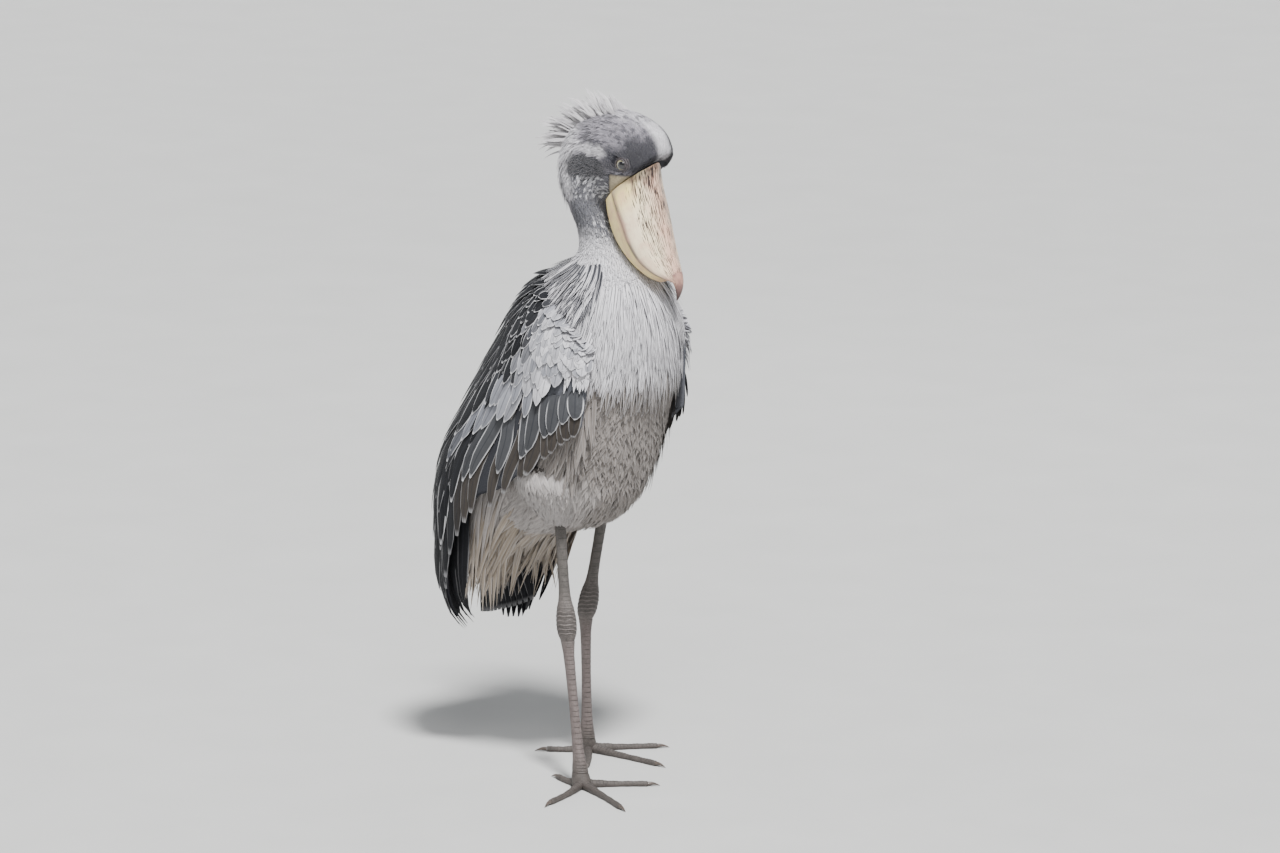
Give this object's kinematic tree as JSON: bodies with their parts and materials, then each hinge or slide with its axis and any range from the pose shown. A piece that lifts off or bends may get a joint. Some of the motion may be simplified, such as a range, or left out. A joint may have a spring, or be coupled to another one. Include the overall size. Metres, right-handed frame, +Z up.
{
  "type": "shoebill",
  "caption": "Life-size still model of a standing shoebill, with its broad bill pointed down, folded wings, tail and long toes.",
  "frame": {"origin": "on the floor, under the middle of the bird's bounding box", "axes": "+X the way the bird faces, +Y its left side, +Z up"},
  "size_m": [0.487, 0.4052, 1.1042],
  "materials": {
    "face_feathers": "short soft feathers, dark grey patches with pale streaks",
    "neck_feathers": "soft pale grey feathers",
    "body_feathers": "long pale grey plumes over soft warm grey feathers",
    "wing_feathers": "slate grey vanes with pale fringes, black towards the tip",
    "quills": "blackish stiff vanes with a faint sheen",
    "bill_horn": "worn satin horn, cream and pink with dark streaks",
    "eye": "wet, clear cornea over a pale grey-yellow iris",
    "leg_skin": "dry grey-brown scaly skin",
    "claw_horn": "dark horn, slightly worn"
  },
  "bodies": {
    "root": {"head": "face_feathers", "neck": "neck_feathers", "torso": "body_feathers", "thigh_right": "body_feathers", "thigh_left": "body_feathers", "undertail_coverts": "body_feathers", "wing_right": "wing_feathers", "wing_left": "wing_feathers", "tail": "quills", "bill_upper": "bill_horn", "bill_lower": "bill_horn", "eye_right": "eye", "eye_left": "eye", "shank_right": "leg_skin", "shank_left": "leg_skin", "tarsus_right": "leg_skin", "tarsus_left": "leg_skin", "foot_right": "leg_skin", "foot_left": "leg_skin", "claw_inner_right": "claw_horn", "claw_middle_right": "claw_horn", "claw_outer_right": "claw_horn", "claw_hind_right": "claw_horn", "claw_inner_left": "claw_horn", "claw_middle_left": "claw_horn", "claw_outer_left": "claw_horn", "claw_hind_left": "claw_horn"}
  },
  "joints": []
}
